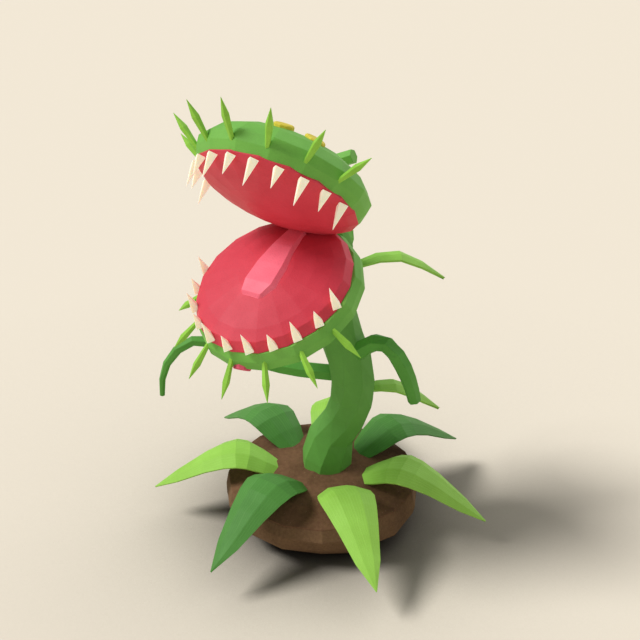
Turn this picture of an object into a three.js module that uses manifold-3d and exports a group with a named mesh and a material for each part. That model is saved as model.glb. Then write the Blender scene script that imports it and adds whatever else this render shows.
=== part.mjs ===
// A potted venus flytrap: an open two-lobed trap on a bent stem, with tendrils,
// stem leaves and a rosette of seven base leaves, growing from a low bowl of earth.
// Millimetres, +Z up, origin at the centre of the bowl's foot. The mouth faces -Y.
import * as THREE from 'three';
import { mergeVertices } from 'three/addons/utils/BufferGeometryUtils.js';
import Module from 'manifold-3d';

const wasm = await Module();
wasm.setup();

// ---------- driving dimensions ----------
const GAP = 0.4;                 // clearance left between neighbouring pieces
const SEGMENTS = 16;             // sides of the bowl, the earth and the lobes

const SOIL_TOP = 34;             // height of the earth at the stem
const RIM_RADIUS = 56;
const RIM_HEIGHT = 26;
const BOWL_WALL = 4;

const STEM_RADIUS = 13;

const LEAF_COUNT = 7;
const LEAF_REACH = 100;          // from the stem's foot to a base leaf's tip
const LEAF_FIRST = 10.4;         // bearing of the first leaf, degrees from +X
const LEAF_FOLD = 0.44;          // drop of a leaf's edge per millimetre from its ridge

const MOUTH_BEARING = 236.9;     // as laid out below, before the plant is turned
const HINGE = new THREE.Vector3(-5.1, 0, SOIL_TOP + 144.8);
// A jaw's setback is from the hinge to the back of its rim, and its lobe stands aside of
// its lining. Its tooth seat is the share of the way out to the rim, and its phases turn
// its teeth and its cilia about its own axis, in degrees.
const LOWER = {
  pitch: -28.9,
  long: 44,
  wide: 41,
  setback: -3.4,
  mouth: 1,
  lobeAside: 1.3,
  toothSeat: 0.98,
  toothPhase: 0,
  ciliumPhase: 1.5,
  ciliumDepth: 5,
  ciliumLength: 19,
};
const UPPER = {
  pitch: 40.9,
  long: 42.2,
  wide: 42.6,
  setback: -0.9,
  mouth: -1,
  lobeAside: 0,
  toothSeat: 0.97,
  toothPhase: 2.7,
  ciliumPhase: 3.5,
  ciliumDepth: 5.6,
  ciliumLength: 19.5,
};

const TOOTH_STEP = 16.9;         // degrees along the rim
const TEETH_EACH_SIDE = 5;
const TOOTH_LONG = 12.7;
const TOOTH_SHORT = 9.6;
const TOOTH_RADIUS = 3.1;
const TOOTH_RISE = 1.8;          // from the plane of the rim to a tooth's root
const CILIA_STEP = 23.9;
const CILIA_COUNT = 7;
const CILIUM_RISE = 33;          // degrees back from the plane of the rim
const CILIUM_SEAT = 1.05;        // share of the way out to the rim
const TONGUE_RISE = 2.4;         // above the lower lining
const ROOT_DEPTH = 3;            // how far a cilium or spot is sunk into its lobe

const TURN = 270 - MOUTH_BEARING;

const COLOURS = {
  bowl: 0x5d452f,
  soil: 0x6c523d,
  stem: 0x4f8039,
  tendril: 0x4a7033,
  lightLeaf: 0xa0d759,
  darkLeaf: 0x5a9147,
  stemLeaf: 0x7ba549,
  lobe: 0x6ba341,
  lining: 0xc8404a,
  tongue: 0xff8798,
};

// ---------- helpers ----------
const degrees = THREE.MathUtils.degToRad;

function seededRandom(seed) {
  let state = seed;
  return () => {
    state = (state * 1664525 + 1013904223) % 4294967296;
    return state / 4294967296 - 0.5;
  };
}

// One closed body with merged corners.
function weld(geometry) {
  const positions = geometry.clone();
  positions.deleteAttribute('normal');
  positions.deleteAttribute('uv');
  return mergeVertices(positions, 1e-4);
}

function solid(geometry) {
  const welded = weld(geometry);
  return new wasm.Manifold(new wasm.Mesh({
    numProp: 3,
    vertProperties: new Float32Array(welded.attributes.position.array),
    triVerts: new Uint32Array(welded.index.array),
  }));
}

function geometryOf(body) {
  const mesh = body.getMesh();
  const geometry = new THREE.BufferGeometry();
  geometry.setAttribute('position', new THREE.BufferAttribute(mesh.vertProperties, 3));
  geometry.setIndex(new THREE.BufferAttribute(mesh.triVerts, 1));
  return geometry;
}

// The profile's [radius, height] points turned about Z.
function turned(profile, sides, firstAngle = 0) {
  const points = profile.map(([radius, height]) => new THREE.Vector2(radius, height));
  return new THREE.LatheGeometry(points, sides, firstAngle).rotateX(Math.PI / 2);
}

function moveEachPoint(geometry, move) {
  const positions = geometry.attributes.position;
  const point = new THREE.Vector3();
  for (let i = 0; i < positions.count; i += 1) {
    point.fromBufferAttribute(positions, i);
    move(point);
    positions.setXYZ(i, point.x, point.y, point.z);
  }
  return geometry;
}

// Bends a solid that stands on Z from 0 to 1 so that it follows a curve, with its Y
// on the side that the level vector points to.
function bend(geometry, curve, level = new THREE.Vector3(0, 0, 1)) {
  return moveEachPoint(geometry, (point) => {
    const along = THREE.MathUtils.clamp(point.z, 0, 1);
    const tangent = curve.getTangentAt(along);
    const across = new THREE.Vector3().crossVectors(level, tangent).normalize();
    const up = new THREE.Vector3().crossVectors(tangent, across);
    const centre = curve.getPointAt(along);
    point.copy(centre.addScaledVector(across, point.x).addScaledVector(up, point.y));
  });
}

// The value at a place in a list of [place, value] pairs.
function valueAt(pairs, place) {
  const next = Math.max(1, pairs.findIndex(([end]) => end >= place));
  const [start, low] = pairs[next - 1];
  const [end, high] = pairs[next];
  return THREE.MathUtils.mapLinear(place, start, end, low, high);
}

// A blunt round limb: [place along 0..1, radius] pairs along a curve.
function limb(points, radii, sides, rings, level, padding = 0) {
  const curve = new THREE.CatmullRomCurve3(points.map((p) => new THREE.Vector3(...p)));
  const profile = [[0, 0]];
  for (let ring = 0; ring <= rings; ring += 1) {
    profile.push([valueAt(radii, ring / rings) + padding, ring / rings]);
  }
  profile.push([0, 1]);
  return bend(turned(profile, sides, Math.PI / sides), curve, level);
}

// A folded, pointed blade along a curve: its section is a shallow roof with three
// faces above and three below, and its thickness is the same all the way.
function blade(curve, widths, thickness, fold, padding = 0) {
  const profile = widths.map(([along, half]) => [half, along]);
  const geometry = turned(profile, 8, Math.PI / 8);
  const edge = Math.cos(Math.PI / 8);
  moveEachPoint(geometry, (point) => {
    const half = Math.hypot(point.x, point.y);
    if (half < 1e-6) return;
    const across = point.x / half / edge;
    const side = Math.sign(point.y);
    const middle = Math.abs(across) < 0.7;
    point.x = across * (half + padding);
    point.y = side * (thickness / 2 + padding) - (middle ? 0.4 : 1) * half * fold;
  });
  return bend(geometry, curve);
}

// ---------- bowl and earth ----------
function bowl() {
  const inner = RIM_RADIUS - BOWL_WALL;
  const profile = [
    [0, 0], [40, 0], [50.5, 5.5], [57, 12.5], [58, 19],
    [RIM_RADIUS, RIM_HEIGHT], [inner, RIM_HEIGHT], [46, 6], [0, 5],
  ];
  const random = seededRandom(7);
  const geometry = weld(turned(profile, SEGMENTS));
  return solid(moveEachPoint(geometry, (point) => {
    const radius = Math.hypot(point.x, point.y);
    const bulge = point.z > 4 && point.z < 21 && radius > 48;
    if (!bulge) return;
    const swell = 1 + random() * 0.035;
    point.set(point.x * swell, point.y * swell, point.z + random() * 3);
  }));
}

// The earth fills the bowl and runs out over its rim.
function earth() {
  const inner = RIM_RADIUS - BOWL_WALL - GAP;
  const profile = [
    [0, 5 + GAP], [46 - GAP, 6 + GAP], [inner, RIM_HEIGHT + GAP],
    [RIM_RADIUS, RIM_HEIGHT + GAP], [RIM_RADIUS, RIM_HEIGHT + GAP + 0.6],
    [43, 31], [31, 33], [21, SOIL_TOP], [0, SOIL_TOP + 0.5],
  ];
  const random = seededRandom(11);
  const geometry = weld(turned(profile, SEGMENTS));
  return solid(moveEachPoint(geometry, (point) => {
    const radius = Math.hypot(point.x, point.y);
    if (radius > 5 && radius < 50 && point.z > 27) point.z += random() * 1.8;
  }));
}

// ---------- stem and tendrils ----------
// Each limb's points are [right, away, height], seen from the mouth's near side.
const STEM_PATH = [
  [3, 0, SOIL_TOP - 8], [3, 0, SOIL_TOP + 6], [6, 0, SOIL_TOP + 20], [13.5, 0, SOIL_TOP + 31],
  [17.5, 0, SOIL_TOP + 46], [16.5, 0, SOIL_TOP + 64], [11, 2, SOIL_TOP + 80],
  [7, 4, SOIL_TOP + 98], [7, 6, SOIL_TOP + 118], [7, 7, SOIL_TOP + 134], [6, 6, SOIL_TOP + 147],
];
const STEM_RADII = [
  [0, 15], [0.08, 15], [0.16, 13.5], [0.25, 12.8], [0.38, STEM_RADIUS], [0.5, STEM_RADIUS],
  [0.62, 12], [0.76, 11], [0.9, 10], [0.96, 9], [1, 5.5],
];
const stem = (padding = 0) => solid(
  limb(STEM_PATH, STEM_RADII, 8, 12, new THREE.Vector3(0, 1, 0), padding));

const TENDRILS = {
  tendril_right: {
    points: [[19, -6, 109], [28, -12, 118], [35.5, -17, 118.5], [42, -20, 110.5], [47.5, -21, 98],
      [50.5, -21, 86.5]],
    radii: [[0, 5.2], [0.3, 5], [0.6, 4.4], [1, 3.2]],
    rings: 8,
  },
  tendril_left: {
    points: [[8, 4, 91], [-14, 9, 91], [-36, 12, 95], [-60, 12, 106], [-75, 11, 107.5],
      [-86, 10, 99], [-92, 10, 87], [-93.5, 10, 73]],
    radii: [[0, 5.2], [0.3, 4.9], [0.55, 3.9], [0.75, 2.8], [1, 1.6]],
    rings: 12,
  },
  tendril_back: {
    points: [[7, 10, 152], [13.5, 24, 167], [9, 36, 186], [4.5, 41, 197], [8, 38.5, 204.6],
      [17.3, 34, 208.9]],
    radii: [[0, 4.6], [0.4, 4.4], [1, 4.2]],
    rings: 8,
  },
};
function tendril(name, padding = 0) {
  const { points, radii, rings } = TENDRILS[name];
  return solid(limb(points, radii, 6, rings, new THREE.Vector3(0.2, 1, 0.1), padding));
}

// ---------- leaves ----------
// The leaves are light and dark in turn, and the dark ones arch a little higher.
const LIGHT_RIDGE = [
  [22, 31.5], [30, 38], [38, 43.8], [48, 47.8], [62, 44.6], [78, 35.5], [90, 26.8], [LEAF_REACH, 19],
];
const DARK_RIDGE = [
  [22, 33], [30, 40.5], [38, 46.6], [48, 50.6], [62, 47], [78, 36.8], [90, 27.4], [LEAF_REACH, 19],
];
const BASE_LEAF_WIDTHS = [
  [0, 0], [0.001, 7.5], [0.029, 9], [0.072, 10.6], [0.115, 12.2], [0.184, 13.9], [0.272, 15.2],
  [0.34, 15.6], [0.416, 15], [0.497, 13.6], [0.595, 11.7], [0.7, 9.6], [0.861, 6], [1, 0],
];
const isLight = (index) => index % 2 === 0;

function baseLeaf(index, padding = 0) {
  const bearing = degrees(LEAF_FIRST - TURN + (360 / LEAF_COUNT) * index);
  const ridge = (isLight(index) ? LIGHT_RIDGE : DARK_RIDGE).map(([out, height]) => new THREE.Vector3(
    out * Math.cos(bearing), out * Math.sin(bearing), height));
  return solid(blade(new THREE.CatmullRomCurve3(ridge), BASE_LEAF_WIDTHS, 1.8, LEAF_FOLD, padding));
}

const STEM_LEAVES = {
  stem_leaf_upper: {
    points: [[10, 12, 149], [22, 16, 155.5], [38, 19, 159.5], [52, 21, 155], [69, 23, 141.5]],
    widths: [[0, 0], [0.001, 3], [0.15, 4], [0.35, 6.2], [0.55, 6.8], [0.8, 4.6], [1, 0]],
  },
  stem_leaf_lower: {
    points: [[24, 3, 83], [34, 5, 85], [44, 7, 84], [55, 9, 77.5], [69, 12, 63]],
    widths: [[0, 0], [0.001, 4], [0.2, 6.5], [0.42, 8], [0.65, 7], [0.85, 4], [1, 0]],
  },
};
function stemLeaf(name, padding = 0) {
  const points = STEM_LEAVES[name].points.map((p) => new THREE.Vector3(...p));
  return solid(blade(new THREE.CatmullRomCurve3(points), STEM_LEAVES[name].widths, 1.6, 0.5, padding));
}

// ---------- the trap ----------
// Places a shape that is made on a jaw's own axes: X forwards, Z into the mouth, and
// the origin at the middle of its rim.
function jawPlacement(jaw) {
  const bearing = degrees(MOUTH_BEARING);
  const pitch = degrees(jaw.pitch);
  const forward = new THREE.Vector3(
    Math.cos(bearing) * Math.cos(pitch), Math.sin(bearing) * Math.cos(pitch), Math.sin(pitch));
  const side = new THREE.Vector3(-Math.sin(bearing), Math.cos(bearing), 0).multiplyScalar(jaw.mouth);
  const inward = new THREE.Vector3().crossVectors(forward, side);
  const middle = HINGE.clone().addScaledVector(forward, jaw.setback + jaw.long);
  return new THREE.Matrix4().makeBasis(forward, side, inward).setPosition(middle);
}

// Stretches a round shape of radius 1 to the jaw's rim and puts it in place.
function onJaw(geometry, jaw) {
  geometry.scale(jaw.long, jaw.wide, 1);
  return solid(geometry.applyMatrix4(jawPlacement(jaw)));
}

// Each profile starts at its tip, and its heights are from the plane of the rim.
const LOBE_PROFILES = {
  lower: [[0, -17.2], [0.4, -16.8], [0.75, -15], [0.95, -12.5], [1.06, -9.5], [1.05, -4.5], [0.995, 0],
    [0, 0]],
  upper: [[0, -26.4], [0.32, -25.4], [0.59, -23.1], [0.8, -19.7], [0.96, -15.6], [1.07, -9.5],
    [1.05, -4.5], [0.99, 0], [0, 0]],
};
const LINING_PROFILES = {
  lower: [[0, GAP], [1, GAP], [0.935, 5.3], [0.8, 7.9], [0.6, 10.4], [0.35, 12.4], [0, 13.4]],
  upper: [[0, GAP], [1, GAP], [0.91, 3.3], [0.82, 5.3], [0.68, 7.4], [0.5, 9.5], [0.27, 11], [0, 11.6]],
};

// The profile grown by a clearance, for cutting a neighbour clear of it: its flat side
// moves off through the plane of the rim and all the rest moves the other way.
function grown(profile, jaw, clearance) {
  const domeSide = Math.sign(profile[0][1] + profile[profile.length - 1][1]);
  return profile.map(([radius, height]) => [
    radius === 0 ? 0 : radius + clearance / jaw.wide,
    height + clearance * domeSide * (Math.abs(height) <= GAP ? -1 : 1),
  ]);
}

function lining(name, jaw, clearance = 0) {
  return onJaw(turned(grown(LINING_PROFILES[name], jaw, clearance), SEGMENTS), jaw);
}

function lobe(name, jaw, clearance = 0) {
  const shell = turned(grown(LOBE_PROFILES[name], jaw, clearance), SEGMENTS);
  return onJaw(shell.translate(0, jaw.lobeAside / jaw.wide, 0), jaw);
}

// A turned spike that stands on a place on a jaw, both in the jaw's own axes. The
// profile's heights are from that place.
function spike(profile, sides, root, direction, jaw) {
  const geometry = turned(profile, sides);
  const rise = new THREE.Quaternion().setFromUnitVectors(new THREE.Vector3(0, 0, 1), direction);
  geometry.applyQuaternion(rise).translate(root.x, root.y, root.z);
  return solid(geometry.applyMatrix4(jawPlacement(jaw)));
}

// The point at a bearing on a jaw, at a share of the way out to its rim.
function onRim(jaw, angle, share, height) {
  return new THREE.Vector3(
    share * jaw.long * Math.cos(angle), share * jaw.wide * Math.sin(angle), height);
}

// The teeth are four-sided and all turned the same way. Half of each root is in the lining.
function teeth(jaw, seed) {
  const random = seededRandom(seed);
  const inward = new THREE.Vector3(0, 0, 1);
  const spikes = [];
  for (let place = -TEETH_EACH_SIDE; place <= TEETH_EACH_SIDE; place += 1) {
    const angle = degrees(TOOTH_STEP * place + jaw.toothPhase);
    const length = (place % 2 === 0 ? TOOTH_SHORT : TOOTH_LONG) * (1 + random() * 0.06);
    const root = onRim(jaw, angle, jaw.toothSeat, TOOTH_RISE);
    spikes.push(spike([[0, 0], [TOOTH_RADIUS, 0], [0, length]], 4, root, inward, jaw));
  }
  return spikes;
}

function cilia(jaw) {
  const rise = degrees(CILIUM_RISE);
  const profile = [
    [0, -ROOT_DEPTH], [1.1, -ROOT_DEPTH], [1.3, 0], [2, 0.55 * jaw.ciliumLength],
    [0, jaw.ciliumLength],
  ];
  const spikes = [];
  for (let index = 0; index < CILIA_COUNT; index += 1) {
    const angle = degrees(CILIA_STEP * (index - (CILIA_COUNT - 1) / 2) + jaw.ciliumPhase);
    const direction = new THREE.Vector3(
      Math.cos(angle) * Math.cos(rise), Math.sin(angle) * Math.cos(rise), -Math.sin(rise));
    const root = onRim(jaw, angle, CILIUM_SEAT, -jaw.ciliumDepth);
    spikes.push(spike(profile, 5, root, direction, jaw));
  }
  return spikes;
}

// A low round boss on a lobe's back, at a bearing and a share of the way to the rim.
function spot(jaw, bearing, share, radius, depth) {
  const root = onRim(jaw, degrees(bearing), share, -depth);
  const direction = new THREE.Vector3(root.x * 0.35, root.y * 0.35, -depth).normalize();
  const profile = [
    [0, -ROOT_DEPTH], [radius, -ROOT_DEPTH], [radius, 1.4], [radius * 0.9, 2], [0, 2],
  ];
  return spike(profile, 8, root, direction, jaw);
}

const lowerLobe = [
  ...cilia(LOWER),
  spot(LOWER, 6, 1, 4.6, 10.5),
  spot(LOWER, 60, 0.6, 4.5, 16),
].reduce((body, piece) => body.add(piece), lobe('lower', LOWER));

const lowerLining = teeth(LOWER, 3)
  .reduce((body, piece) => body.add(piece), lining('lower', LOWER));

const lowerClear = lobe('lower', LOWER, GAP);
const lowerLiningClear = lining('lower', LOWER, GAP);
const upperClear = lobe('upper', UPPER, GAP);
const upperLiningClear = lining('upper', UPPER, GAP);

const upperLobe = [
  ...cilia(UPPER),
  spot(UPPER, -20, 0.74, 5, 20.5),
  spot(UPPER, -48, 0.76, 5.3, 19.5),
  spot(UPPER, 62, 0.62, 5, 21.5),
].reduce((body, piece) => body.add(piece), lobe('upper', UPPER))
  .subtract(lowerClear)
  .subtract(lowerLiningClear);

const upperLining = teeth(UPPER, 5)
  .reduce((body, piece) => body.add(piece), lining('upper', UPPER))
  .subtract(lowerClear)
  .subtract(lowerLiningClear);

// The tongue lies on the lower lining, from near the hinge towards the front.
function tongue() {
  const outline = new THREE.Shape();
  outline.moveTo(-29, -4);
  outline.quadraticCurveTo(-11, -4.5, 4, -6.3);
  outline.lineTo(13, -6.2);
  outline.quadraticCurveTo(18, -4.6, 19, -1);
  outline.quadraticCurveTo(19.5, 6, 14, 10.5);
  outline.quadraticCurveTo(7, 14, -2, 11.5);
  outline.quadraticCurveTo(-16, 8, -29, 6.5);
  outline.closePath();
  const slab = new THREE.ExtrudeGeometry(outline, { depth: 30, bevelEnabled: false, curveSegments: 4 });
  slab.translate(0, 0, 3);
  const strip = solid(slab.applyMatrix4(jawPlacement(LOWER)));
  return strip
    .intersect(lining('lower', LOWER, TONGUE_RISE))
    .subtract(lowerLiningClear)
    .subtract(upperLiningClear);
}

// ---------- assembly ----------
const bodies = {};
const colours = {};

function addPiece(name, body, colour) {
  bodies[name] = body;
  colours[name] = colour;
}

addPiece('pot', bowl(), COLOURS.bowl);

let ground = earth().subtract(stem(GAP));
for (let index = 0; index < LEAF_COUNT; index += 1) {
  addPiece(`base_leaf_${index + 1}`, baseLeaf(index).subtract(stem(GAP)),
    isLight(index) ? COLOURS.lightLeaf : COLOURS.darkLeaf);
  ground = ground.subtract(baseLeaf(index, GAP));
}
addPiece('soil', ground, COLOURS.soil);

let trunk = stem().subtract(lowerClear).subtract(upperClear).subtract(lowerLiningClear);
for (const name of Object.keys(TENDRILS)) {
  trunk = trunk.subtract(tendril(name, GAP));
  addPiece(name, tendril(name), COLOURS.tendril);
}
for (const name of Object.keys(STEM_LEAVES)) {
  trunk = trunk.subtract(stemLeaf(name, GAP));
  addPiece(name, stemLeaf(name), COLOURS.stemLeaf);
}
addPiece('stem', trunk, COLOURS.stem);

addPiece('lower_lobe', lowerLobe, COLOURS.lobe);
addPiece('lower_lining', lowerLining, COLOURS.lining);
addPiece('upper_lobe', upperLobe, COLOURS.lobe);
addPiece('upper_lining', upperLining, COLOURS.lining);
addPiece('tongue', tongue(), COLOURS.tongue);

const plant = new THREE.Group();
for (const [name, body] of Object.entries(bodies)) {
  const material = new THREE.MeshStandardMaterial({
    color: colours[name], roughness: 0.7, metalness: 0, flatShading: true,
  });
  const mesh = new THREE.Mesh(geometryOf(body), material);
  mesh.name = name;
  plant.add(mesh);
}
plant.rotation.z = degrees(TURN);

const part = new THREE.Group();
part.add(plant);
part.updateMatrixWorld(true);
export default part;
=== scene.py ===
import math
import random

import bmesh
import bpy
from mathutils import Matrix, Vector
from mathutils.geometry import interpolate_bezier


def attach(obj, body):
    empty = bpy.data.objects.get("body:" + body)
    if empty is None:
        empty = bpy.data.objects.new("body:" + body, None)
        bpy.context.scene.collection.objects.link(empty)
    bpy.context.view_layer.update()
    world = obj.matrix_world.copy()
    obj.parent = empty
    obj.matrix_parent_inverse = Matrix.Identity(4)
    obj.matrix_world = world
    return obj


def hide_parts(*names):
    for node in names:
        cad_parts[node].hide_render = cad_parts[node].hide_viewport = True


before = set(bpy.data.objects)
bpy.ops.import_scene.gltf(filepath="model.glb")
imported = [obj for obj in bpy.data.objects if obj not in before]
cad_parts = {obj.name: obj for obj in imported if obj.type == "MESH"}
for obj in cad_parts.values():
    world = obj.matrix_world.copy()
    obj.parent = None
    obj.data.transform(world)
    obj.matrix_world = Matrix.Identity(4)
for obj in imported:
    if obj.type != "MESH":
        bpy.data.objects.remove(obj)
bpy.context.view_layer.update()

# ---------- driving measures ----------
TURN = 33.1                      # from the layout to the finished plant
PLANT = Matrix.Rotation(math.radians(TURN), 4, "Z") @ Matrix.Scale(0.001, 4)

SOIL_TOP = 34                    # height of the earth at the stem
RIM_RADIUS = 56
RIM_HEIGHT = 26
BOWL_WALL = 4
BOWL_SIDES = 16

CREASE = 9.0                     # edges that turn by more than this are softened
CURVE_STEPS = 16                 # pieces of a curve from one of its points to the next
STEM_SIDES = 8
STEM_RINGS = 12
STEM_TWIST = 9.0                 # how far the stem's flat sides turn from ring to ring
STEM_LEVEL = Vector((0, 1, 0))   # its rings' own X stays square to this
TENDRIL_SIDES = 6
TENDRIL_LEVEL = Vector((0.2, 1, 0.1))

LEAF_COUNT = 7
LEAF_FIRST = -22.7               # bearing of the first base leaf
LEAF_FOLD = 0.44                 # drop of a leaf's edge per millimetre from its ridge
LEAF_THICKNESS = 1.0
STEM_LEAF_FOLD = 0.5
STEM_LEAF_THICKNESS = 1.6

MOUTH_BEARING = 236.9
HINGE = Vector((-5.1, 0, SOIL_TOP + 144.8))
# A jaw's setback is from the hinge to the back of its rim. Its mouth is 1 where it faces
# up and -1 where it faces down, and its lobe stands aside of its lining. Its tooth seat
# is a share of the way out to the rim, and its phases turn its teeth and its cilia about
# its own axis.
LOWER = {
    "pitch": -28.9,
    "long": 44,
    "wide": 41,
    "setback": -3.4,
    "mouth": 1,
    "lobe_aside": 1.3,
    "tooth_seat": 0.98,
    "tooth_phase": 0,
    "tooth_seed": 3,
    "cilium_phase": 1.5,
    "cilium_depth": 5,
    "cilium_length": 19,
}
UPPER = {
    "pitch": 40.9,
    "long": 42.2,
    "wide": 42.6,
    "setback": -0.9,
    "mouth": -1,
    "lobe_aside": 0,
    "tooth_seat": 0.97,
    "tooth_phase": 2.7,
    "tooth_seed": 5,
    "cilium_phase": 3.5,
    "cilium_depth": 5.6,
    "cilium_length": 18.9,
}
JAWS = {"lower": LOWER, "upper": UPPER}
LOBE_SIDES = 16
LINING_SIDES = 18
LINING_FIRST_ANGLE = 3           # bearing of a lining's first corner, on its jaw

TIP_RADIUS = 0.12                # of a tooth and of a cilium
ROOT_DEPTH = 3                   # how far a cilium or spot is sunk into its lobe
SPIKE_BEVEL = 0.12

TOOTH_SIDES = 4
TOOTH_STEP = 16.9                # along the rim
TEETH_EACH_SIDE = 5
TOOTH_LONG = 12.7
TOOTH_SHORT = 9.6
TOOTH_SPREAD = 0.03              # share by which a tooth's length may differ
TOOTH_RADIUS = 3.1
TOOTH_RISE = 1.8                 # from the plane of the rim to a tooth's root

CILIUM_SIDES = 5
CILIA_STEP = 23.9
CILIA_COUNT = 7
CILIUM_RISE = 33                 # back from the plane of the rim
CILIUM_SEAT = 1.05               # share of the way out to the rim
CILIUM_SWELL = 0.55              # share of its length at which it is thickest
CILIUM_RADII = (1.1, 1.3, 2)     # at its sunk end, at its root and where it is thickest

SPOT_SIDES = 10
SPOT_LEAN = 0.35                 # its lean outwards, as a share of its way from the jaw's axis
SPOT_SHOULDER = 1.3              # height at which its top starts to narrow
SPOT_HEIGHT = 1.9
SPOT_TOP = 0.9                   # its top's share of its radius

CAMERA_AWAY = -444.4
CAMERA_HEIGHT = 330.1
CAMERA_RIGHT = -1.24
AIM_HEIGHT = 126
LIGHT_REACH = 1500               # how far off the suns stand, which changes no light
AIR_LIGHT = 0.36
FLOOR_HALF = 12                  # metres
FLOOR_DROP = 0.0002              # metres, so that the foot and the floor don't coincide
# The floor's colour carries painted shade: the open colour where nothing is near, darkening towards the
# painted shade colour within this reach.
FLOOR_SHADE_REACH = 0.4          # metres
FLOOR_OPEN = (182, 174, 160)
FLOOR_PAINTED_SHADE = (4, 4, 3)


# ---------- shaders ----------
# Sockets of a Mix node that mixes colours.
FACTOR = 0
FIRST_COLOUR = 6
SECOND_COLOUR = 7
MIXED = 2

SKIN_SPECULAR = 0.3
SKIN_RELIEF = 0.5
PATCH_DULLING = 0.16             # how much the roughness changes from patch to patch
LEAF_ROUGHNESS = 0.6
VEIN_TINT = 0.18                 # share of the vein's colour on a vein
VEIN_HEIGHT = 0.8                # on a scale where the pores are up to about 1
VEIN_WIDTH = 0.16                # half a vein, as a share of the way to the next one
EARTH_SPECULAR = 0.15
EARTH_RELIEF = 0.6


def paint(red, green, blue):
    """A screen colour as the linear one that a shader takes."""
    return tuple((((value / 255) + 0.055) / 1.055) ** 2.4 for value in (red, green, blue)) + (1.0,)


def feed(tree, made, inputs):
    """Gives each input of a node the (node, output) that feeds it, or a plain value."""
    for socket, source in inputs.items():
        if isinstance(source, tuple) and isinstance(source[0], bpy.types.Node):
            giver, output = source
            tree.links.new(giver.outputs[output], made.inputs[socket])
        else:
            made.inputs[socket].default_value = source


def node(tree, kind, inputs=(), **settings):
    """A new shader node, with its settings and then its inputs."""
    made = tree.nodes.new("ShaderNode" + kind)
    for name, setting in settings.items():
        setattr(made, name, setting)
    feed(tree, made, dict(inputs))
    return made


def maths(tree, operation, *numbers):
    """What a Math node makes of its numbers, each a value or what feeds it."""
    return node(tree, "Math", dict(enumerate(numbers)), operation=operation), "Value"


def mixed(tree, factor, first, second, blend_type="MIX"):
    """Two colours mixed, from all of the first to all of the second."""
    sources = {FACTOR: factor, FIRST_COLOUR: first, SECOND_COLOUR: second}
    return node(tree, "Mix", sources, data_type="RGBA", blend_type=blend_type), MIXED


def ranged(tree, value, start, end, low=0.0, high=1.0, curve="LINEAR"):
    """A value from start to end as one from low to high."""
    sources = {"Value": value, "From Min": start, "From Max": end, "To Min": low, "To Max": high}
    return node(tree, "MapRange", sources, interpolation_type=curve), "Result"


def new_group(name, inputs, outputs):
    """An empty shader group. An input is (name, socket kind, first value)."""
    tree = bpy.data.node_groups.new(name, "ShaderNodeTree")
    for label, kind, value in inputs:
        socket = tree.interface.new_socket(name=label, in_out="INPUT", socket_type="NodeSocket" + kind)
        socket.default_value = value
    for label, kind in outputs:
        tree.interface.new_socket(name=label, in_out="OUTPUT", socket_type="NodeSocket" + kind)
    return tree, tree.nodes.new("NodeGroupInput"), tree.nodes.new("NodeGroupOutput")


def tissue_group():
    """Living skin: soft patches between two colours, fine pores and a changing dullness."""
    tree, entry, leaving = new_group(
        "living_tissue",
        [("Light", "Color", (1, 1, 1, 1)), ("Dark", "Color", (0, 0, 0, 1)),
         ("Patch Scale", "Float", 60.0), ("Pore Scale", "Float", 1500.0), ("Roughness", "Float", 0.6)],
        [("Color", "Color"), ("Roughness", "Float"), ("Height", "Float")])
    place = (node(tree, "TexCoord"), "Object")
    patches = node(tree, "TexNoise", {
        "Vector": place, "Scale": (entry, "Patch Scale"), "Detail": 4.0, "Roughness": 0.55})
    spread = ranged(tree, (patches, "Fac"), 0.3, 0.7)
    blend = mixed(tree, spread, (entry, "Light"), (entry, "Dark"))
    pores = node(tree, "TexVoronoi", {"Vector": place, "Scale": (entry, "Pore Scale")})
    fleck = ranged(tree, (pores, "Distance"), 0.05, 0.45, 0.93, 1.03)
    feed(tree, leaving, {
        "Color": mixed(tree, 1.0, blend, fleck, "MULTIPLY"),
        "Roughness": maths(tree, "MULTIPLY_ADD", (patches, "Fac"), PATCH_DULLING, (entry, "Roughness")),
        "Height": (pores, "Distance")})
    return tree


def vein_group():
    """A blade's veins from its own map, whose X runs across the blade and Y along it."""
    tree, entry, leaving = new_group(
        "blade_veins",
        [("Count", "Float", 9.0), ("Midrib", "Float", 0.05)],
        [("Veins", "Float"), ("Rib", "Float")])
    chart = node(tree, "UVMap", uv_map="blade")
    place = node(tree, "SeparateXYZ", {"Vector": (chart, "UV")})
    across = maths(tree, "MULTIPLY", (place, "X"), (entry, "Count"))
    wave = maths(tree, "PINGPONG", across, 0.5)
    from_middle = maths(tree, "ABSOLUTE", (place, "X"))
    feed(tree, leaving, {
        "Veins": ranged(tree, wave, 0.0, VEIN_WIDTH, 1.0, 0.0, "SMOOTHSTEP"),
        "Rib": ranged(tree, from_middle, 0.0, (entry, "Midrib"), 1.0, 0.0, "SMOOTHSTEP")})
    return tree


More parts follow.
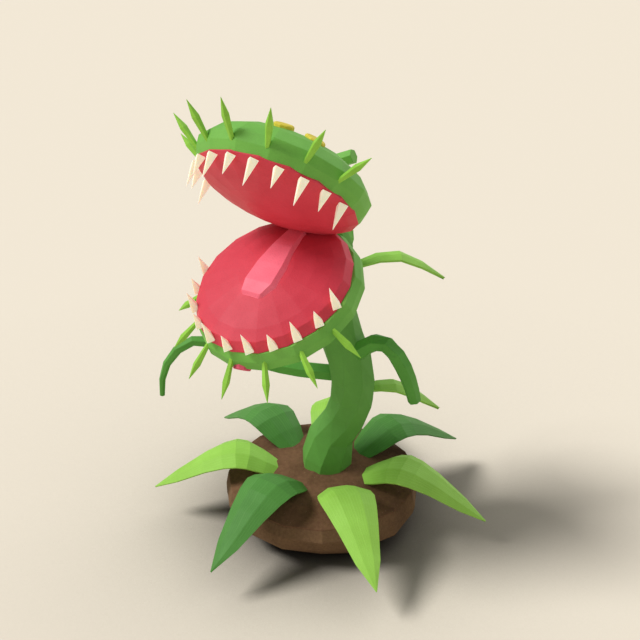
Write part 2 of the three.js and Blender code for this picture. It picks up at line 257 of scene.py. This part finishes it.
def crumb_group():
    """Earth and fired earth: coarse patches, crumbs and a scatter of pale grit."""
    tree, entry, leaving = new_group(
        "earth_crumbs",
        [("Light", "Color", (1, 1, 1, 1)), ("Dark", "Color", (0, 0, 0, 1)),
         ("Grit", "Color", (1, 1, 1, 1)), ("Crumb Scale", "Float", 420.0), ("Grit Share", "Float", 0.08)],
        [("Color", "Color"), ("Height", "Float")])
    place = (node(tree, "TexCoord"), "Object")
    patches = node(tree, "TexNoise", {"Vector": place, "Scale": 45.0, "Detail": 3.0})
    crumbs = node(tree, "TexNoise", {
        "Vector": place, "Scale": (entry, "Crumb Scale"), "Detail": 6.0, "Roughness": 0.65})
    both = maths(tree, "ADD", (patches, "Fac"), (crumbs, "Fac"))
    spread = ranged(tree, both, 0.75, 1.25)
    blend = mixed(tree, spread, (entry, "Dark"), (entry, "Light"))
    grains = node(tree, "TexVoronoi", {"Vector": place, "Scale": (entry, "Crumb Scale")})
    near = maths(tree, "LESS_THAN", (grains, "Distance"), (entry, "Grit Share"))
    feed(tree, leaving, {
        "Color": mixed(tree, near, blend, (entry, "Grit")),
        "Height": (crumbs, "Fac")})
    return tree


TISSUE = tissue_group()
VEINS = vein_group()
CRUMBS = crumb_group()


def new_material(name, roughness, specular, relief_height, relief_strength):
    """A material with its shader and a bump, in metres, that is ready to be fed."""
    material = bpy.data.materials.new(name)
    material.use_nodes = True
    tree = material.node_tree
    shader = tree.nodes["Principled BSDF"]
    relief = node(tree, "Bump", {"Distance": relief_height, "Strength": relief_strength})
    feed(tree, shader, {
        "Roughness": roughness, "Specular IOR Level": specular, "Normal": (relief, "Normal")})
    return material, tree, shader, relief


def skin(tree, light, dark, patch, pores, roughness):
    """Living tissue of two colours, whose roughness is as given on average."""
    return node(tree, "Group", {
        "Light": paint(*light), "Dark": paint(*dark), "Patch Scale": patch, "Pore Scale": pores,
        "Roughness": roughness - PATCH_DULLING / 2}, node_tree=TISSUE)


def flesh(name, light, dark, patch=60.0, pores=1500.0, roughness=0.6, scatter=0.0, painted_glow=0.0):
    """Plain skin. The scatter is how deep light enters it, in metres, and the painted glow is painted
    light: how strongly it shines of itself, though it is no lamp."""
    material, tree, shader, relief = new_material(name, roughness, SKIN_SPECULAR, 0.00008, SKIN_RELIEF)
    tissue = skin(tree, light, dark, patch, pores, roughness)
    feed(tree, shader, {"Base Color": (tissue, "Color"), "Roughness": (tissue, "Roughness")})
    feed(tree, relief, {"Height": (tissue, "Height")})
    if scatter:
        feed(tree, shader, {
            "Subsurface Weight": 1.0, "Subsurface Scale": scatter,
            "Subsurface Radius": (1.0, 0.85, 0.7)})
    # Painted light: an emission in the skin's own colour that keeps it lit where it lies in shade.
    if painted_glow:
        feed(tree, shader, {"Emission Color": paint(*light), "Emission Strength": painted_glow})
    return material


def leaf_skin(name, light, dark, vein, count=9.0):
    """Flesh with lengthwise veins and a midrib, which are a little paler and raised."""
    material, tree, shader, relief = new_material(
        name, LEAF_ROUGHNESS, SKIN_SPECULAR, 0.00012, SKIN_RELIEF)
    tissue = skin(tree, light, dark, 48.0, 1700.0, LEAF_ROUGHNESS)
    veins = node(tree, "Group", {"Count": count}, node_tree=VEINS)
    mask = maths(tree, "MAXIMUM", (veins, "Veins"), (veins, "Rib"))
    share = maths(tree, "MULTIPLY", mask, VEIN_TINT)
    feed(tree, shader, {
        "Base Color": mixed(tree, share, (tissue, "Color"), paint(*vein)),
        "Roughness": (tissue, "Roughness")})
    feed(tree, relief, {
        "Height": maths(tree, "MULTIPLY_ADD", mask, VEIN_HEIGHT, (tissue, "Height"))})
    return material


def ground(name, light, dark, grit, crumb=420.0, share=0.08, bump=0.0006, roughness=0.92):
    """Earth, with its crumbs' scale, the share of grit and the crumbs' height in metres."""
    material, tree, shader, relief = new_material(name, roughness, EARTH_SPECULAR, bump, EARTH_RELIEF)
    crumbs = node(tree, "Group", {
        "Light": paint(*light), "Dark": paint(*dark), "Grit": paint(*grit),
        "Crumb Scale": crumb, "Grit Share": share}, node_tree=CRUMBS)
    feed(tree, shader, {"Base Color": (crumbs, "Color")})
    feed(tree, relief, {"Height": (crumbs, "Height")})
    return material


LIGHT_LEAF = leaf_skin("light_leaf", (157, 212, 84), (146, 199, 73), (186, 231, 118))
DARK_LEAF = leaf_skin("dark_leaf", (82, 142, 60), (73, 130, 51), (120, 178, 90))
STEM_LEAF = leaf_skin("stem_leaf", (154, 209, 84), (137, 192, 72), (172, 214, 110), count=5.0)
STALK = flesh("stalk_green", (105, 166, 72), (92, 151, 62), patch=42.0)
TENDRIL = flesh("tendril_green", (94, 163, 65), (83, 149, 55))
LOBE = flesh("lobe_green", (123, 188, 80), (106, 171, 67), patch=36.0)
RED_LINING = flesh("red_lining", (220, 69, 86), (206, 57, 73), patch=40.0, pores=1300.0, roughness=0.55)
TONGUE = flesh("tongue_pink", (254, 124, 143), (249, 111, 132), patch=70.0, pores=1100.0, roughness=0.5)
# The teeth have a painted glow, so they stay pale and bright in shade.
TOOTH = flesh("tooth_ivory", (255, 243, 219), (252, 236, 208), patch=120.0, pores=2600.0, roughness=0.5,
              scatter=0.0012, painted_glow=0.2)
CILIUM = flesh("cilium_green", (151, 210, 73), (139, 196, 63), patch=90.0)
YELLOW_SPOT = flesh("yellow_spot", (234, 216, 74), (214, 192, 56), patch=150.0, pores=1200.0)
PINK_SPOT = flesh("pink_spot", (228, 92, 116), (214, 80, 103), patch=150.0, pores=1200.0)
EARTH = ground("potting_earth", (126, 92, 67), (101, 72, 51), (150, 124, 98))
FIRED_EARTH = ground("bowl_earth", (126, 97, 69), (98, 73, 51), (144, 116, 90),
                     crumb=700.0, share=0.05, bump=0.0003, roughness=0.85)


# ---------- shaping ----------
def value_at(pairs, place):
    """The value at a place in a list of (place, value) pairs."""
    for (start, low), (end, high) in zip(pairs, pairs[1:]):
        if place <= end:
            return low + (high - low) * (place - start) / (end - start)
    return pairs[-1][1]


class Path:
    """A smooth curve through points, read by its share of length."""

    def __init__(self, points):
        knots = [Vector(point) for point in points]
        row = [2 * knots[0] - knots[1], *knots, 2 * knots[-1] - knots[-2]]
        self.line = [knots[0]]
        for before, start, end, after in zip(row, row[1:], row[2:], row[3:]):
            reach_out = start + (end - before) / 6
            reach_in = end - (after - start) / 6
            self.line += interpolate_bezier(start, reach_out, reach_in, end, CURVE_STEPS)[1:]
        self.marks = [0.0]
        for start, end in zip(self.line, self.line[1:]):
            self.marks.append(self.marks[-1] + (end - start).length)

    def at(self, share):
        """The point at a share of the length and the direction there."""
        goal = share * self.marks[-1]
        step = next((i for i, mark in enumerate(self.marks[1:]) if mark >= goal), len(self.line) - 2)
        start, end = self.line[step], self.line[step + 1]
        part = (goal - self.marks[step]) / (self.marks[step + 1] - self.marks[step])
        ahead = self.line[min(step + 2, len(self.line) - 1)]
        behind = self.line[max(step - 1, 0)]
        return start.lerp(end, part), (ahead - behind).normalized()


def upright(centre, direction, level, scale=1.0):
    """Axes at a point: Z along the direction and X across it, square to the level."""
    across = level.cross(direction).normalized()
    up = direction.cross(across)
    axes = Matrix((across * scale, up * scale, direction)).transposed().to_4x4()
    return Matrix.Translation(centre) @ axes


def grow(bm, sides, places):
    """A closed tube through a row of rings, each given by its matrix."""
    corners = bmesh.ops.create_circle(bm, segments=sides, radius=1.0, matrix=places[0])["verts"]
    edges = list({edge for corner in corners for edge in corner.link_edges})
    bmesh.ops.contextual_create(bm, geom=edges)
    for before, after in zip(places, places[1:]):
        grown = bmesh.ops.extrude_edge_only(bm, edges=edges)["geom"]
        corners = {part for part in grown if isinstance(part, bmesh.types.BMVert)}
        edges = [part for part in grown
                 if isinstance(part, bmesh.types.BMEdge) and corners.issuperset(part.verts)]
        bmesh.ops.transform(bm, matrix=after @ before.inverted(), verts=list(corners))
    bmesh.ops.contextual_create(bm, geom=edges)


def limb(points, radii, sides, rings, level, twist=0.0):
    """A round limb along a curve, with flat sides that may wind about it."""
    path = Path(points)
    places = []
    for step in range(rings + 1):
        share = step / rings
        centre, direction = path.at(share)
        turn = Matrix.Rotation(math.radians(180 / sides + twist * step), 4, "Z")
        places.append(upright(centre, direction, level, value_at(radii, share)) @ turn)
    bm = bmesh.new()
    grow(bm, sides, places)
    return bm


def thicken(bm, thickness):
    """Turns an open sheet's faces upwards and gives it a thickness below them."""
    bmesh.ops.recalc_face_normals(bm, faces=bm.faces[:])
    if sum(face.normal.z for face in bm.faces) < 0:
        bmesh.ops.reverse_faces(bm, faces=bm.faces[:])
    bmesh.ops.solidify(bm, geom=bm.faces[:], thickness=thickness)


# A blade's section: where its four lengthwise edges lie, as shares of its half width,
# and the share of its fold that each one drops by.
BLADE_COLUMNS = (-1.0, -0.41, 0.41, 1.0)
BLADE_DROPS = (1.0, 0.4, 0.4, 1.0)


def blade(points, widths, stations, thickness, fold):
    """A pointed blade along a curve, three faces wide, with the same thickness all over."""
    path = Path(points)
    bm = bmesh.new()
    columns, rows = len(BLADE_COLUMNS) - 1, len(stations) - 1
    bmesh.ops.create_grid(bm, x_segments=columns, y_segments=rows, size=0.5)
    chart = bm.loops.layers.uv.new("blade")
    for corner in bm.verts:
        column = round((corner.co.x + 0.5) * columns)
        share = stations[round((corner.co.y + 0.5) * rows)]
        half = value_at(widths, share)
        centre, direction = path.at(share)
        axes = upright(centre, direction, Vector((0, 0, 1)))
        for loop in corner.link_loops:
            loop[chart].uv = (BLADE_COLUMNS[column], share)
        corner.co = axes @ Vector((
            -BLADE_COLUMNS[column] * half, thickness / 2 - BLADE_DROPS[column] * half * fold, 0))
    thicken(bm, thickness)
    return bm


def turned(profile, sides, first_angle=0.0):
    """A profile of (radius, height) pairs, from axis to axis, spun about Z."""
    bm = bmesh.new()
    corners = [bm.verts.new((radius, 0, height)) for radius, height in profile]
    for pair in zip(corners, corners[1:]):
        bm.edges.new(pair)
    bmesh.ops.rotate(bm, verts=bm.verts[:], matrix=Matrix.Rotation(math.radians(first_angle), 3, "Z"))
    bmesh.ops.spin(bm, geom=bm.verts[:] + bm.edges[:], cent=(0, 0, 0), axis=(0, 0, 1),
                   angle=math.tau, steps=sides, use_merge=True)
    bmesh.ops.remove_doubles(bm, verts=bm.verts[:], dist=0.001)
    return bm


def finish_piece(bm, name, material, nodes, bevel=0.25):
    """Softens the creases, puts the piece in its place on the plant and names it."""
    bmesh.ops.remove_doubles(bm, verts=bm.verts[:], dist=0.001)
    bmesh.ops.recalc_face_normals(bm, faces=bm.faces[:])
    sharp = [edge for edge in bm.edges if edge.calc_face_angle(0) > math.radians(CREASE)]
    bmesh.ops.bevel(bm, geom=sharp, offset=bevel, offset_type="OFFSET", segments=2, profile=0.5,
                    affect="EDGES", clamp_overlap=True, material=-1)
    bmesh.ops.transform(bm, matrix=PLANT, verts=bm.verts[:])
    for face in bm.faces:
        face.smooth = False
    mesh = bpy.data.meshes.new(name)
    bm.to_mesh(mesh)
    bm.free()
    mesh.materials.append(material)
    piece = bpy.data.objects.new(name, mesh)
    bpy.context.scene.collection.objects.link(piece)
    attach(piece, "root")
    if nodes:
        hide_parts(*nodes)


# ---------- bowl and earth ----------
def jitter(bm, seed, chosen, swell, rise):
    """Moves the chosen corners in or out and up or down by small random amounts."""
    draw = random.Random(seed)
    for corner in bm.verts:
        wider = 1 + draw.uniform(-swell, swell)
        higher = draw.uniform(-rise, rise)
        if chosen(math.hypot(corner.co.x, corner.co.y), corner.co.z):
            corner.co = Vector((corner.co.x * wider, corner.co.y * wider, corner.co.z + higher))


def make_bowl():
    """The bowl, its uneven wall split into triangles."""
    inner = RIM_RADIUS - BOWL_WALL
    bm = turned([(0, 0), (37, 0), (40, 0.6), (50.5, 5.5), (57, 12.5), (58, 19), (RIM_RADIUS, RIM_HEIGHT),
                 (inner, RIM_HEIGHT), (46, 6), (0, 5)], BOWL_SIDES)
    jitter(bm, 7, lambda radius, height: radius > 48 and 4 < height < 21, swell=0.02, rise=1.8)
    foot_reach = 47              # no face of the foot or the floor has its middle further out
    wall = [face for face in bm.faces if face.calc_center_median().length > foot_reach]
    bmesh.ops.triangulate(bm, faces=wall, quad_method="ALTERNATE")
    finish_piece(bm, "bowl_wall", FIRED_EARTH, ["pot"], bevel=0.3)


def make_earth():
    """The earth, which fills the bowl and laps over its rim."""
    lip = RIM_RADIUS - 0.1
    lip_foot = RIM_HEIGHT - 0.2
    bm = turned([(0, 6), (44, 7), (51.5, lip_foot), (lip, lip_foot), (lip, RIM_HEIGHT + 0.6),
                 (43, 31), (31, 33), (21, SOIL_TOP), (0, SOIL_TOP + 0.5)], BOWL_SIDES)
    jitter(bm, 11, lambda radius, height: 20 < radius < 50 and height > 27, swell=0.03, rise=1.0)
    finish_piece(bm, "earth_mound", EARTH, ["soil"], bevel=0.3)


make_bowl()
make_earth()

# ---------- stem and tendrils ----------
# Radii are (share of the length, radius).
STEM_PATH = [
    (3, 0, SOIL_TOP - 8), (3, 0, SOIL_TOP + 6), (6, 0, SOIL_TOP + 20), (13.5, 0, SOIL_TOP + 31),
    (17.5, 0, SOIL_TOP + 46), (16.5, 0, SOIL_TOP + 64), (11, 2, SOIL_TOP + 80),
    (7, 4, SOIL_TOP + 98), (7, 6, SOIL_TOP + 118), (7, 7, SOIL_TOP + 134), (6, 6, SOIL_TOP + 147),
]
STEM_RADII = [
    (0, 15), (0.08, 15), (0.16, 13.5), (0.25, 12.8), (0.38, 13), (0.5, 13),
    (0.62, 12), (0.76, 11), (0.9, 10), (0.96, 9), (1, 5.5),
]
finish_piece(limb(STEM_PATH, STEM_RADII, STEM_SIDES, STEM_RINGS, STEM_LEVEL, STEM_TWIST),
             "trunk", STALK, ["stem"], bevel=0.35)

# The solid's name, the skin, the number of steps along it, its points and its radii.
TENDRILS = {
    "right_tendril": (
        "tendril_right", TENDRIL, 8,
        [(19, -6, 109), (28, -12, 118), (35.5, -17, 118.5), (42, -20, 110.5), (47.5, -21, 98),
         (50.5, -21, 86.5)],
        [(0, 5.2), (0.3, 5.1), (0.65, 4.9), (1, 3.7)]),
    "left_tendril": (
        "tendril_left", TENDRIL, 12,
        [(8, 4, 91), (-14, 9, 91), (-36, 12, 95), (-60, 12, 106), (-75, 11, 107.5), (-86, 10, 99),
         (-92, 10, 87), (-93.5, 10, 73)],
        [(0, 5.2), (0.3, 4.9), (0.55, 3.9), (0.75, 2.8), (1, 1.6)]),
    "back_tendril": (
        "tendril_back", LOBE, 8,
        [(7, 10, 152), (13.5, 24, 167), (9, 36, 186), (4.5, 41, 197), (8, 38.5, 204.6),
         (17.3, 34, 208.9)],
        [(0, 4.6), (0.4, 4.4), (1, 4.2)]),
}
for name, (node_name, material, rings, points, radii) in TENDRILS.items():
    finish_piece(limb(points, radii, TENDRIL_SIDES, rings, TENDRIL_LEVEL),
                 name, material, [node_name], bevel=0.3)

# ---------- leaves ----------
# A ridge is (distance from the plant's axis, height), and widths are (share of the
# length, half width). The leaves are light and dark in turn.
LIGHT_RIDGE = [
    (22, 31.5), (30, 38), (38, 43.8), (48, 47.8), (62, 44.6), (78, 35.5), (90, 26.8), (99.2, 19.3),
]
DARK_RIDGE = [
    (22, 33), (30, 40.5), (38, 46.6), (48, 50.6), (62, 47), (78, 36.8), (90, 27.4), (99.2, 19.3),
]
BASE_LEAF_WIDTHS = [
    (0, 7.5), (0.029, 9), (0.072, 10.6), (0.115, 12.2), (0.184, 13.9), (0.272, 15.2), (0.34, 15.6),
    (0.416, 15), (0.497, 13.6), (0.595, 11.7), (0.7, 9.6), (0.861, 6), (1, 0.3),
]
BASE_LEAF_STATIONS = (0, 0.05, 0.135, 0.265, 0.375, 0.475, 0.615, 0.83, 1)
BASE_LEAF_KINDS = (
    (LIGHT_RIDGE, LIGHT_LEAF, "light_leaf"),
    (DARK_RIDGE, DARK_LEAF, "dark_leaf"),
)
for index in range(LEAF_COUNT):
    ridge, material, slot = BASE_LEAF_KINDS[index % 2]
    bearing = math.radians(LEAF_FIRST + 360 / LEAF_COUNT * index)
    points = [(out * math.cos(bearing), out * math.sin(bearing), height) for out, height in ridge]
    finish_piece(blade(points, BASE_LEAF_WIDTHS, BASE_LEAF_STATIONS, LEAF_THICKNESS, LEAF_FOLD),
                 f"base_leaf_blade_{index + 1}", material, [f"base_leaf_{index + 1}"], bevel=0.22)

# The solid's name, the points and the widths.
STEM_LEAVES = {
    "upper_stem_leaf": (
        "stem_leaf_upper",
        [(10, 12, 149), (22, 16, 155.5), (38, 19, 159.5), (52, 21, 155), (69, 23, 141.5)],
        [(0, 3), (0.15, 4), (0.35, 6.2), (0.55, 6.8), (0.8, 4.6), (1, 0.3)]),
    "lower_stem_leaf": (
        "stem_leaf_lower",
        [(24, 3, 83), (34, 5, 85), (44, 7, 84), (55, 9, 77.5), (69, 12, 63)],
        [(0, 4), (0.2, 6.5), (0.42, 8), (0.65, 7), (0.85, 4), (1, 0.3)]),
}
STEM_LEAF_STATIONS = (0, 0.16, 0.34, 0.54, 0.76, 1)
for name, (node_name, points, widths) in STEM_LEAVES.items():
    finish_piece(blade(points, widths, STEM_LEAF_STATIONS, STEM_LEAF_THICKNESS, STEM_LEAF_FOLD),
                 name, STEM_LEAF, [node_name], bevel=0.2)


# ---------- the trap ----------
def jaw_place(jaw):
    """A jaw's own axes: X forwards, Z into the mouth, from the middle of its rim."""
    bearing = math.radians(MOUTH_BEARING)
    pitch = math.radians(jaw["pitch"])
    forward = Vector((math.cos(bearing) * math.cos(pitch), math.sin(bearing) * math.cos(pitch),
                      math.sin(pitch)))
    side = Vector((-math.sin(bearing), math.cos(bearing), 0)) * jaw["mouth"]
    axes = Matrix((forward, side, forward.cross(side))).transposed().to_4x4()
    return Matrix.Translation(HINGE + forward * (jaw["setback"] + jaw["long"])) @ axes


def on_jaw(bm, jaw):
    """Puts in its place what is made on a jaw's own axes."""
    bmesh.ops.transform(bm, matrix=jaw_place(jaw), verts=bm.verts[:])
    return bm


def shell(profile, jaw, sides, first_angle=0.0, aside=0.0):
    """A profile turned and stretched to a jaw's rim."""
    bm = turned(profile, sides, first_angle)
    bmesh.ops.scale(bm, vec=(jaw["long"], jaw["wide"], 1), verts=bm.verts[:])
    bmesh.ops.translate(bm, vec=(0, aside, 0), verts=bm.verts[:])
    return on_jaw(bm, jaw)


def on_rim(jaw, angle, share, height):
    """The point at a bearing on a jaw, at a share of the way out to its rim."""
    return Vector((share * jaw["long"] * math.cos(angle), share * jaw["wide"] * math.sin(angle), height))


def spike(bm, sides, root, direction, profile):
    """A straight piece with rings of (distance from its root, radius). The rings' own X
    points forwards on the jaw."""
    level = direction.cross(Vector((1, 0, 0)))
    grow(bm, sides, [upright(root + direction * distance, direction, level, radius)
                     for distance, radius in profile])


# Profiles are (share of the way out to the rim, height from the rim's plane).
LOBE_PROFILES = {
    "lower": [
        (0, -17.2), (0.4, -16.8), (0.75, -15), (0.95, -12.5), (1.06, -9.5), (1.05, -4.5),
        (0.995, 0), (0, 0),
    ],
    "upper": [
        (0, -26.4), (0.32, -25.4), (0.59, -23.1), (0.8, -19.7), (0.96, -15.6), (1.07, -9.5),
        (1.05, -4.5), (0.99, 0), (0, 0),
    ],
}
LINING_PROFILES = {
    "lower": [
        (0, -1), (0.98, -1), (1, 0.4), (0.935, 5.3), (0.8, 7.9), (0.6, 10.4), (0.35, 12.4), (0, 13.4),
    ],
    "upper": [
        (0, -1), (0.98, -1), (1, 0.4), (0.91, 3.3), (0.82, 5.3), (0.68, 7.4), (0.5, 9.5), (0.27, 11),
        (0, 11.6),
    ],
}


def teeth(jaw):
    """Four-sided teeth along a jaw's rim, short and long in turn, all turned alike."""
    draw = random.Random(jaw["tooth_seed"])
    bm = bmesh.new()
    for place in range(-TEETH_EACH_SIDE, TEETH_EACH_SIDE + 1):
        angle = math.radians(TOOTH_STEP * place + jaw["tooth_phase"])
        usual = TOOTH_SHORT if place % 2 == 0 else TOOTH_LONG
        length = usual * (1 + draw.uniform(-TOOTH_SPREAD, TOOTH_SPREAD))
        spike(bm, TOOTH_SIDES, on_rim(jaw, angle, jaw["tooth_seat"], TOOTH_RISE), Vector((0, 0, 1)),
              [(0, TOOTH_RADIUS), (length, TIP_RADIUS)])
    return on_jaw(bm, jaw)


def cilia(jaw):
    """Spindles that stand out round a lobe's back."""
    bm = bmesh.new()
    rise = math.radians(CILIUM_RISE)
    length = jaw["cilium_length"]
    sunk, root_radius, thickest = CILIUM_RADII
    profile = [(-ROOT_DEPTH, sunk), (0, root_radius), (length * CILIUM_SWELL, thickest),
               (length, TIP_RADIUS)]
    for index in range(CILIA_COUNT):
        angle = math.radians(CILIA_STEP * (index - (CILIA_COUNT - 1) / 2) + jaw["cilium_phase"])
        direction = Vector((math.cos(angle) * math.cos(rise), math.sin(angle) * math.cos(rise),
                            -math.sin(rise)))
        spike(bm, CILIUM_SIDES, on_rim(jaw, angle, CILIUM_SEAT, -jaw["cilium_depth"]), direction, profile)
    return on_jaw(bm, jaw)


def spots(jaw, places):
    """Low round bosses: (bearing, share of the way to the rim, radius, depth)."""
    bm = bmesh.new()
    for bearing, share, radius, depth in places:
        root = on_rim(jaw, math.radians(bearing), share, -depth)
        direction = Vector((root.x * SPOT_LEAN, root.y * SPOT_LEAN, -depth)).normalized()
        spike(bm, SPOT_SIDES, root, direction,
              [(-ROOT_DEPTH, radius), (SPOT_SHOULDER, radius), (SPOT_HEIGHT, radius * SPOT_TOP)])
    return on_jaw(bm, jaw)


# The tongue lies on the dome of the lower lining, from its top outwards. Its stations are
# (forwards, left edge, right edge, rise), and its columns are shares of the way from its
# left edge to its right one, of which the two outer ones are sunk into the lining.
TONGUE_BED = LINING_PROFILES["lower"][:3:-1]
TONGUE_STATIONS = [
    (-29, -4, 6.5, 1.8), (-15, -4.8, 8.8, 2.0), (-2, -6.2, 11.8, 2.2), (10, -6.6, 12.6, 2.2),
    (16.5, -5, 9, 1.6), (18.8, -3, 6, -0.8),
]
TONGUE_COLUMNS = (0, 0.06, 0.85, 1)
TONGUE_SINK = -0.8
TONGUE_THICKNESS = 1.6


def tongue():
    """A flat strip over the lower lining with a narrow slope down each side."""
    bm = bmesh.new()
    columns, rows = len(TONGUE_COLUMNS) - 1, len(TONGUE_STATIONS) - 1
    bmesh.ops.create_grid(bm, x_segments=columns, y_segments=rows, size=0.5)
    for corner in bm.verts:
        column = round((corner.co.x + 0.5) * columns)
        forwards, left, right, rise = TONGUE_STATIONS[round((corner.co.y + 0.5) * rows)]
        across = left + (right - left) * TONGUE_COLUMNS[column]
        share = math.hypot(forwards / LOWER["long"], across / LOWER["wide"])
        above = TONGUE_SINK if column in (0, columns) else rise
        corner.co = Vector((forwards, across, value_at(TONGUE_BED, share) + above))
    thicken(bm, TONGUE_THICKNESS)
    return on_jaw(bm, LOWER)


for side, jaw in JAWS.items():
    finish_piece(shell(LOBE_PROFILES[side], jaw, LOBE_SIDES, aside=jaw["lobe_aside"]),
                 f"{side}_lobe_shell", LOBE, [f"{side}_lobe"])
for side, jaw in JAWS.items():
    finish_piece(shell(LINING_PROFILES[side], jaw, LINING_SIDES, LINING_FIRST_ANGLE),
                 f"{side}_red_lining", RED_LINING, [f"{side}_lining"])
finish_piece(tongue(), "tongue_strip", TONGUE, ["tongue"])
for side, jaw in JAWS.items():
    finish_piece(teeth(jaw), f"{side}_teeth", TOOTH, [], bevel=SPIKE_BEVEL)
for side, jaw in JAWS.items():
    finish_piece(cilia(jaw), f"{side}_cilia", CILIUM, [], bevel=SPIKE_BEVEL)

UPPER_SPOTS = [(-20, 0.74, 5, 20.5), (-48, 0.76, 5.3, 19.5), (62, 0.62, 5, 21.5)]
LOWER_SPOTS = [(6, 1, 4.6, 10.5), (60, 0.6, 4.5, 16)]
finish_piece(spots(UPPER, UPPER_SPOTS), "upper_spots", YELLOW_SPOT, [], bevel=0.2)
finish_piece(spots(LOWER, LOWER_SPOTS), "lower_spots", PINK_SPOT, [], bevel=0.2)


# ---------- floor, light and camera ----------
def make_floor():
    """Pale paper with painted shade: its colour goes dark where the bowl and the leaves close it in."""
    bm = bmesh.new()
    bmesh.ops.create_grid(bm, x_segments=1, y_segments=1, size=FLOOR_HALF)
    mesh = bpy.data.meshes.new("floor")
    bm.to_mesh(mesh)
    bm.free()
    material = bpy.data.materials.new("floor_paper")
    material.use_nodes = True
    tree = material.node_tree
    # Painted shade: the ambient occlusion darkens the floor's own colour near the bowl and the leaves.
    shade_openness = node(tree, "AmbientOcclusion", {"Distance": FLOOR_SHADE_REACH}, samples=12)
    feed(tree, tree.nodes["Principled BSDF"], {
        "Base Color": mixed(tree, (shade_openness, "AO"), paint(*FLOOR_PAINTED_SHADE), paint(*FLOOR_OPEN)),
        "Roughness": 1.0, "Specular IOR Level": 0.0})
    mesh.materials.append(material)
    floor = bpy.data.objects.new("floor", mesh)
    floor.location.z = -FLOOR_DROP
    bpy.context.scene.collection.objects.link(floor)
    return floor


def seen_point(right, away, height):
    """A point of the layout, in metres on the finished plant's axes."""
    return PLANT @ Vector((right, away, height))


def make_sun(name, bearing, elevation, spread, strength, lit=None):
    """A far, soft light, on all things or only on those in a collection."""
    light = bpy.data.lights.new(name, "SUN")
    light.angle = math.radians(spread)
    light.energy = strength
    lamp = bpy.data.objects.new(name, light)
    turn = math.radians(bearing)
    flat = math.cos(math.radians(elevation))
    towards = Vector((math.cos(turn) * flat, math.sin(turn) * flat, math.sin(math.radians(elevation))))
    lamp.location = seen_point(*(towards * LIGHT_REACH))
    lamp.rotation_euler = (seen_point(0, 0, 0) - lamp.location).to_track_quat("-Z", "Y").to_euler()
    bpy.context.scene.collection.objects.link(lamp)
    if lit:
        lamp.light_linking.receiver_collection = lit


KEY = {"bearing": 186, "elevation": 49, "spread": 20}
floor_only = bpy.data.collections.new("floor_only")
floor_only.objects.link(make_floor())
make_sun("key_light", **KEY, strength=2.3)
make_sun("floor_light", **KEY, strength=3.5, lit=floor_only)
make_sun("back_light", bearing=45, elevation=35, spread=60, strength=0.85)

world = bpy.data.worlds.new("studio_air")
world.use_nodes = True
air = world.node_tree.nodes["Background"]
feed(world.node_tree, air, {"Color": (1.0, 1.0, 1.0, 1.0), "Strength": AIR_LIGHT})
bpy.context.scene.world = world

lens = bpy.data.cameras.new("camera")
lens.lens = 50
lens.sensor_width = 36
camera = bpy.data.objects.new("camera", lens)
camera.location = seen_point(CAMERA_RIGHT, CAMERA_AWAY, CAMERA_HEIGHT)
aim = seen_point(CAMERA_RIGHT, 0, AIM_HEIGHT)
camera.rotation_euler = (aim - camera.location).to_track_quat("-Z", "Y").to_euler()
bpy.context.scene.collection.objects.link(camera)
bpy.context.scene.camera = camera
bpy.context.scene.view_settings.view_transform = "Standard"
